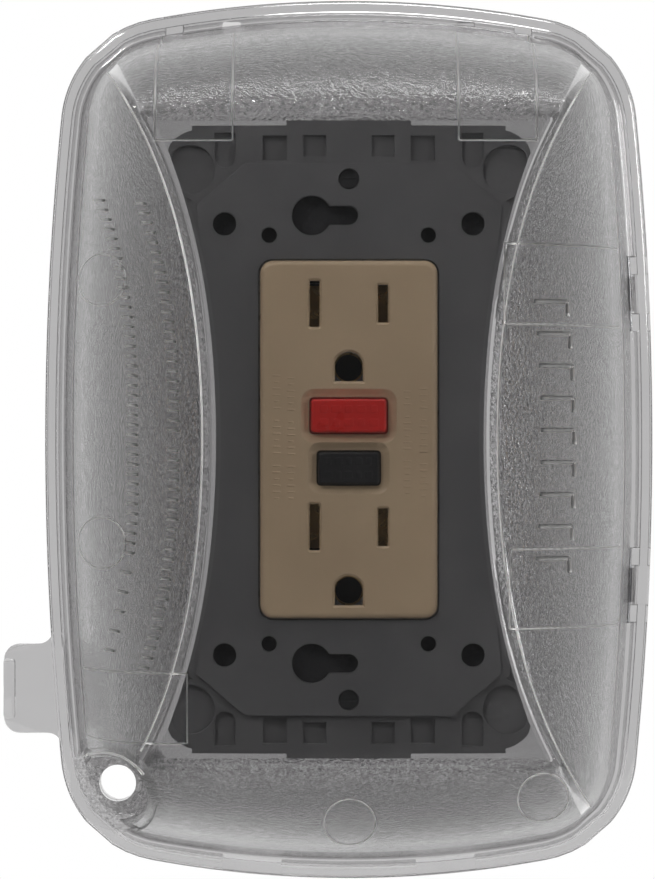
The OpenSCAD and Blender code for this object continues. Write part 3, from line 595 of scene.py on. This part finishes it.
def latch_tab():
    """Thumb tab with rounded corners, blended into the rim."""
    low, high, end, root = -54.6, -38.0, -64.2, -53.3
    corner, blend = 3.0, 2.6
    points = arc(end + corner, high - corner, corner, 90, 180)
    points += arc(end + corner, low + corner, corner, 180, 270)
    points += arc(root - 2.7, low - blend, blend, 90, 0)
    points += [(root, low - blend), (root, high + blend)]
    points += arc(root - 4.4, high + blend, blend, 0, -90)
    steps = [(0.5, -6.2), (0.15, -6.1), (0, -5.7), (0, -4.5), (0.15, -4.2), (0.5, -4.1)]
    return loft("tab", lambda inset: moved_in(points, inset), steps, (0, 0), LID_MATERIALS, BAND)


def build_lid():
    lid = lid_shell()
    room = cylinder(LOCK_X, LOCK_Z, POCKET_R + WALL - 0.5, -90, SKIRT_Y + 1, zone=STIPPLED)
    cut_or_add(lid, [room], "DIFFERENCE")
    additions = [padlock_cup()] + list(lug_blocks())
    additions.append(latch_tab())
    additions.append(rounded_box((-64.2, -9.0, -51.9), (-62.0, -5.0, -40.7), 0.7))
    cut_or_add(lid, additions, "UNION")
    cutters = [scoop(), cylinder(LOCK_X, LOCK_Z, PADLOCK_R, -30, 0)]
    for z in (-HINGE_Z, HINGE_Z):
        pin = [(0, z - 15), (PIN_BORE_R, z - 15), (PIN_BORE_R, z + 15), (0, z + 15)]
        cutters.append(turned(pin, (HINGE_X, HINGE_Y), "Z", 32))
        cutters.append(rounded_box((53, -7.4, z - 3.6), (60, 2, z + 3.6), 0))
    for x in (-18, 18):
        cutters.append(rounded_box((x - 5.5, -11.2, -90), (x + 5.5, 2, -75.3), 0))
    cut_or_add(lid, cutters, "DIFFERENCE")
    lid.data.set_sharp_from_angle(angle=math.radians(38))
    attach(lid, "lid")
    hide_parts("lid")
    return lid


# ---------------------------------------------------------------- receptacle front


def rounded_outline(w, h, r, steps=8):
    """Outline function of a rounded rectangle: inset -> points in (x, z)."""
    def outline(inset):
        radius = max(0.05, r - inset)
        cx, cz = w / 2 - inset - radius, h / 2 - inset - radius
        points = []
        for sx, sz, start in ((1, 1, 0), (-1, 1, 90), (-1, -1, 180), (1, -1, 270)):
            for k in range(steps + 1):
                a = math.radians(start + 90 * k / steps)
                points.append((sx * cx + radius * math.cos(a), sz * cz + radius * math.sin(a)))
        return points
    return outline


def ground_outline(inset):
    """Outline of a ground hole: round above, flat below."""
    half, low, r = 2.6 - inset, -2.6 + inset, 2.7 - inset
    top = math.acos(half / r) if half < r else 0
    arc = [top + (math.pi - 2 * top) * k / 24 for k in range(25)]
    return [(half, low)] + [(r * math.cos(a), 0.2 + r * math.sin(a)) for a in arc] + [(-half, low)]


def round_edge(front, radius, steps=6):
    """(inset, y) steps that round a front edge."""
    turn = [math.pi / 2 * k / steps for k in range(steps + 1)]
    return [(radius - radius * math.sin(a), front + radius - radius * math.cos(a)) for a in turn]


FACE_FRONT, FACE_BACK, FACE_W, FACE_H, YOKE_T = -9.6, -7.4, 33.0, 66.5, 1.6
BLADE_X, BLADE_Z, GROUND_Z, RESET_Z, TEST_Z = 6.35, (25.2, -16.3), (13.4, -28.2), 4.4, -5.3
POST_X, POST_Z = 13.9, 30.4


def shade_by_angle(ob, angle=35):
    ob.data.set_sharp_from_angle(angle=math.radians(angle))
    normals = ob.modifiers.new("normals", "WEIGHTED_NORMAL")
    normals.keep_sharp = True


def build_face():
    mats = [materials["tan"]]
    steps = round_edge(FACE_FRONT, 1.1) + [(0, -YOKE_T)]
    face = loft("receptacle_face", rounded_outline(FACE_W, FACE_H, 2.5), steps, (0, 0), mats)
    hollow = rounded_outline(FACE_W - 3.2, FACE_H - 3.2, 1.2)
    inside = loft("cut", hollow, [(0, FACE_BACK), (0, 1)], (0, 0), mats)
    cut_or_add(face, [inside], "DIFFERENCE")
    post = rounded_outline(4.4, 4.4, 2.2)
    cut_or_add(face, [loft("post", post, [(0, FACE_BACK - 0.2), (0, -YOKE_T)], (x, z), mats)
                      for x in (-POST_X, POST_X) for z in (-POST_Z, POST_Z)], "UNION")
    chamfer = [(-0.5, FACE_FRONT - 0.2), (-0.42, FACE_FRONT), (0, FACE_FRONT + 0.42), (0, -6)]
    cutters = []
    for z in BLADE_Z:
        for x, h in ((-BLADE_X, 8.6), (BLADE_X, 7.0)):
            cutters.append(loft("cut", rounded_outline(1.9, h, 0.25), chamfer, (x, z), mats))
    cutters += [loft("cut", ground_outline, chamfer, (0, z), mats) for z in GROUND_Z]
    # Dished frame round each button, as (inset, depth below the face)
    dish = [(-1.75, -0.2), (-1.7, 0), (-1.45, 0.12), (-0.7, 0.75), (-0.3, 0.9), (0, 1.0)]
    sunk = [(inset, FACE_FRONT + depth) for inset, depth in dish] + [(0, -6)]
    for z, w, h in ((RESET_Z, 14.7, 6.9), (TEST_Z, 12.0, 6.6)):
        cutters.append(loft("cut", rounded_outline(w, h, 0.8), sunk, (0, z), mats))
    cut_or_add(face, cutters, "DIFFERENCE")
    shade_by_angle(face)
    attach(face, "root")
    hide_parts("face")


def build_face_ridges():
    """Fine raised bars beside the buttons, in place of the moulded instructions."""
    bars = []
    columns = ((-13.4, -11.5, 12.5), (-10.7, -11.5, 12.0), (10.9, -10.5, 9.5), (13.9, -11.0, 10.0))
    for x, low, high in columns:
        count = int((high - low) / 1.15)
        for k in range(count):
            if k % 7 == 6:
                continue
            wide = 1.5 if (k * 5) % 3 else 1.0
            bars.append((x, low + (k + 0.5) * (high - low) / count, wide, 0.34))
    points, faces = [], []
    for x, z, w, h in bars:
        base = len(points)
        for inset, y in ((0.12, FACE_FRONT - 0.11), (0.03, FACE_FRONT - 0.07), (0, FACE_FRONT + 0.1)):
            points += [(x + px, y, z + pz) for px, pz in rounded_outline(w, h, 0.17, 3)(inset)]
        n = (len(points) - base) // 3
        for k in range(2):
            for m in range(n):
                a, b = base + k * n + m, base + k * n + (m + 1) % n
                faces.append([a, b, b + n, a + n])
        faces += [[base + m for m in range(n)], [base + 2 * n + m for m in range(n)]]
    ridges = add_mesh("face_ridges", points, faces, [materials["tan"]])
    ridges.data.set_sharp_from_angle(angle=math.radians(60))
    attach(ridges, "root")


def build_button(name, node, body, material, w, h, z, front):
    mats = [materials[material]]
    steps = round_edge(front, 0.55) + [(0, -5.7), (0, -3.4)]
    cap = loft(name, rounded_outline(w, h, 0.7), steps, (0, z), mats)
    collar = loft("collar", rounded_outline(w + 2, h + 0.8, 0.6), [(0, -5.6), (0, -4.8)], (0, z), mats)
    parts = [collar]
    if node == "test_button":
        parts.append(loft("stem", rounded_outline(3, 3, 1.5), [(0, -3.5), (0, 0.6)], (0, z), mats))
    # Raised ribs for the finger, in two rows
    rib = [(0.2, front - 0.16), (0.05, front - 0.1), (0, front + 0.25)]
    for row_z in (-1.25, 1.25):
        for k in range(5):
            x = (k - 2) * w * 0.165
            wide = w * 0.1 if (k + (row_z > 0)) % 2 else w * 0.13
            parts.append(loft("rib", rounded_outline(wide, 1.5, 0.35), rib, (x, z + row_z), mats))
    cut_or_add(cap, parts, "UNION")
    if node == "reset_button":
        hole = loft("hole", rounded_outline(2.8, 2.8, 1.4), [(0, -5.5), (0, -3)], (0, z), mats)
        cut_or_add(cap, [hole], "DIFFERENCE")
    shade_by_angle(cap)
    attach(cap, body)
    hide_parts(node)


# ---------------------------------------------------------------- marks and painted highlight lines on the lid


def on_lid(x, z):
    """Place along Y of the lid's outer surface at (x, z)."""
    ax, az = abs(x), abs(z)
    if az <= CREASE_END_Z and ax > crease_x(az):
        rise = max(0, az - WINDOW_H) / (CREASE_END_Z - WINDOW_H)
        y_row = FOOT_Y + (-LID_DEPTH - FOOT_Y) * math.sqrt(1 - rise * rise)
        xc, xb = crease_x(az), reach_x(az, FOOT_INSET)
        a = math.acos(max(-1, min(1, 1 - (xb - ax) / (xb - xc) * (1 - math.cos(LOBE_TURN)))))
        return FOOT_Y + (y_row - FOOT_Y) * math.sin(a) / math.sin(LOBE_TURN)
    low, high = WINDOW_SHARE, 1.0
    for _ in range(24):
        middle = (low + high) / 2
        zc = row(middle)[0]
        if front_point(middle, min(1, ax / crease_x(zc)), 0).z < az:
            low = middle
        else:
            high = middle
    return FOOT_Y + (-LID_DEPTH - FOOT_Y) * (row(low)[2] if az > WINDOW_H else 1.0)


def ridge(path, width, height, root=0.06):
    """Thin raised line along (x, z) points of the lid, sunk by root: (points, faces)."""
    points, faces = [], []
    profile = [(-0.5, root), (-0.22, -0.8), (0.22, -0.8), (0.5, root)]
    for k, (x, z) in enumerate(path):
        ahead, behind = path[min(k + 1, len(path) - 1)], path[max(k - 1, 0)]
        along = Vector((ahead[0] - behind[0], ahead[1] - behind[1])).normalized()
        for across, up in profile:
            px, pz = x - along.y * width * across, z + along.x * width * across
            points.append((px, on_lid(px, pz) + height * up, pz))
    n = len(profile)
    for k in range(len(path) - 1):
        for m in range(n):
            a, b = k * n + m, k * n + (m + 1) % n
            faces.append([a, b, b + n, a + n])
    faces += [list(range(n)), list(range(len(points) - n, len(points)))]
    return points, faces


def straight(a, b, step=0.6):
    count = max(2, int(math.dist(a, b) / step))
    return [(a[0] + (b[0] - a[0]) * k / count, a[1] + (b[1] - a[1]) * k / count) for k in range(count + 1)]


def circle_path(x, z, r, steps=40):
    return [(x + r * math.cos(2 * math.pi * k / steps), z + r * math.sin(2 * math.pi * k / steps))
            for k in range(steps + 1)]


def outline_points(inset):
    """Points all round the outline at an inset."""
    side = math.atan2(CORNER_C.y, CORNER_C.x - SIDE_C.x)
    end = math.atan2(CORNER_C.x, CORNER_C.y - END_C.y)
    arcs = ((SIDE_C, SIDE_R, 0, side, 40), (CORNER_C, CORNER_R, side, math.pi / 2 - end, 20),
            (END_C, END_R, math.pi / 2 - end, math.pi / 2, 30))
    quarter = [c + (r - inset) * Vector((math.cos(a + (b - a) * k / n), math.sin(a + (b - a) * k / n)))
               for c, r, a, b, n in arcs for k in range(n)] + [END_C + Vector((0, END_R - inset))]
    left = [Vector((-p.x, p.y)) for p in reversed(quarter[:-1])]
    top = quarter + left
    return top + [Vector((p.x, -p.y)) for p in reversed(top[1:-1])]


def clear_of_lock(x, z):
    return math.dist((x, z), (LOCK_X, LOCK_Z)) > POCKET_R + WALL + 0.6


def foot_bead_painted_highlight():
    """Rounded bead where the steep wall turns into the bubble; in the pale edge material it is a painted
    highlight line along the bend.
    """
    points, faces, sides = [], [], 6
    loop = outline_points(FOOT_INSET)
    for k, p in enumerate(loop):
        along = (loop[(k + 1) % len(loop)] - loop[k - 1]).normalized()
        for m in range(sides):
            a = 2 * math.pi * m / sides
            out, y = 0.24 * math.cos(a), FOOT_Y + 0.5 + 0.5 * math.sin(a)
            points.append((p.x + along.y * out, y, p.y - along.x * out))
    n = len(loop)
    drawn = [clear_of_lock(*loop[k]) and clear_of_lock(*loop[(k + 1) % n]) for k in range(n)]
    for k in range(n):
        if drawn[k] != drawn[k - 1]:
            faces.append([k * sides + m for m in range(sides)])
        if not drawn[k]:
            continue
        for m in range(sides):
            a, b, c, d = (k * sides + m, k * sides + (m + 1) % sides,
                          (k + 1) % n * sides + (m + 1) % sides, (k + 1) % n * sides + m)
            faces.append([a, b, c, d])
    return points, faces


def build_lid_marks_and_painted_highlights():
    """Mould insert lines, ejector pin marks and rows of raised dashes, all in the pale edge material: real
    raised lines painted light as highlights, with painted highlight lines along the creases and the foot
    bead.
    """
    lines, dashes = [], []
    for x0, x1, z0, z1 in ((-34.4, -20.7, 74, 52.8), (33.0, 19.2, 74, 52.8)):
        lines += [(straight((x0, z0), (x0, z1)), 0.3), (straight((x1, z0), (x1, z1)), 0.3),
                  (straight((x0, z1), (x1, z1)), 0.3)]
    side_inserts = ((27.3, 49.0, 34.6, 20.4), (28.2, 49.0, -19.4, -33.4), (-28.7, -48.0, -41.3, -53.6))
    for x0, x1, z0, z1 in side_inserts:
        lines += [(straight((x0, z0), (x1, z0)), 0.28), (straight((x0, z1), (x1, z1)), 0.28),
                  (straight((x0, z0), (x0, z1)), 0.28)]
    for x, z in ((0, -68.2), (34.3, -63.5), (-44.5, 28.7), (-44.5, -18.5)):
        lines.append((circle_path(x, z, 4.6), 0.22))
    for offset, start, end in ((5.0, 42, -41), (12.4, 43, -40)):
        z = start
        while z > end:
            x = -(crease_x(z) + offset + 0.004 * (abs(z) - 20) ** 2 * 0.3)
            if int(z * 1.7) % 6:
                dashes.append((straight((x - 1.0, z), (x + 1.0, z - 0.25)), 0.5))
            z -= 1.75
    for k in range(9):
        z = 24.5 - k * 5.7
        x = 37.0 - 0.0022 * z * z
        dashes.append((straight((x - 3.1, z), (x + 3.1, z)), 0.8))
        dashes.append((straight((x + 3.1, z), (x + 3.1, z - 2.6)), 0.8))
    # Pale ridge along each crease: a painted highlight line
    heights = [CREASE_END_Z * 0.985 * math.sin(math.pi / 2 * k / 80) for k in range(-80, 81)]
    for side in (-1, 1):
        open_heights = [z for z in heights if clear_of_lock(side * crease_x(z), z)]
        lines.append(([(side * (crease_x(z) + 0.15), z) for z in open_heights], 0.32))
    points, faces = foot_bead_painted_highlight()
    lip = arc(LOCK_X, LOCK_Z, POCKET_R + 0.8, 35, 138, 40)
    runs = [(path, width, 0.16, 0.06) for path, width in lines]
    runs += [(path, width, 0.3, 0.06) for path, width in dashes]
    for run in runs + [(lip, 0.5, 0.16, 0.9)]:
        p, f = ridge(*run)
        faces += [[i + len(points) for i in face] for face in f]
        points += p
    marks = add_mesh("lid_marks_and_painted_highlights", points, faces, [materials["edge"]])
    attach(marks, "lid")


# ---------------------------------------------------------------- scene


def light(name, place, target, size, power, colour=(1, 1, 1)):
    data = bpy.data.lights.new(name, "AREA")
    data.shape = "DISK"
    data.size = size
    data.energy = power
    data.color = colour
    ob = bpy.data.objects.new(name, data)
    ob.location = place
    ob.rotation_euler = (Vector(target) - Vector(place)).to_track_quat("-Z", "Y").to_euler()
    bpy.context.scene.collection.objects.link(ob)


def set_stage():
    low, high = CAD_BOX
    floor_z = low[2] - 0.045
    bm = bmesh.new()
    bmesh.ops.create_circle(bm, cap_ends=True, radius=0.62, segments=96)
    mesh = bpy.data.meshes.new("floor")
    bm.to_mesh(mesh)
    bm.free()
    floor = bpy.data.objects.new("floor", mesh)
    floor.location = (0, -0.02, floor_z)
    mesh.materials.append(moulded_plastic("floor_paper", (0.90, 0.90, 0.90, 1), (0.88, 0.88, 0.88, 1), 0.9))
    bpy.context.scene.collection.objects.link(floor)
    world = bpy.data.worlds.new("studio")
    world.use_nodes = True
    background = world.node_tree.nodes["Background"]
    background.inputs["Strength"].default_value = 1.0
    links, new = world.node_tree.links, world.node_tree.nodes.new
    direction = new("ShaderNodeTexCoord")
    split = new("ShaderNodeSeparateXYZ")
    sweep = new("ShaderNodeMapRange")
    sweep.interpolation_type = "SMOOTHSTEP"
    for key, value in (("From Min", -0.35), ("From Max", 0.35), ("To Min", 0.25), ("To Max", 1.0)):
        sweep.inputs[key].default_value = value
    links.new(direction.outputs["Generated"], split.inputs[0])
    links.new(split.outputs["Y"], sweep.inputs["Value"])
    links.new(sweep.outputs["Result"], background.inputs["Color"])
    bpy.context.scene.world = world
    light("key", (-0.55, -0.9, 0.75), (0, 0, 0), 0.22, 11)
    light("fill", (0.85, -0.7, 0.2), (0, 0, 0), 0.3, 4)
    light("top", (0.1, -0.25, 1.0), (0, 0, 0), 0.4, 5)
    camera = bpy.data.cameras.new("camera")
    distance, view_h, middle_x = 1.5, 0.1628, (low[0] + high[0]) / 2
    camera.sensor_fit = "VERTICAL"
    camera.sensor_height = 24
    camera.lens = 24 * distance / view_h
    camera.clip_start = 0.05
    ob = bpy.data.objects.new("camera", camera)
    ob.location = (middle_x, SKIRT_Y * MM - distance, 0)
    ob.rotation_euler = (math.pi / 2, 0, 0)
    bpy.context.scene.collection.objects.link(ob)
    bpy.context.scene.camera = ob
    bpy.context.scene.view_settings.view_transform = "Standard"


for node in NODE_SLOT:
    if node not in ("lid", "face", "reset_button", "test_button"):
        finish_node(node)
build_lid()
build_lid_marks_and_painted_highlights()
build_face()
build_face_ridges()
build_button("reset_cap", "reset_button", "reset", "red", 14.1, 6.3, RESET_Z, -10.5)
build_button("test_cap", "test_button", "test", "black", 11.4, 6.0, TEST_Z, -10.3)
set_stage()
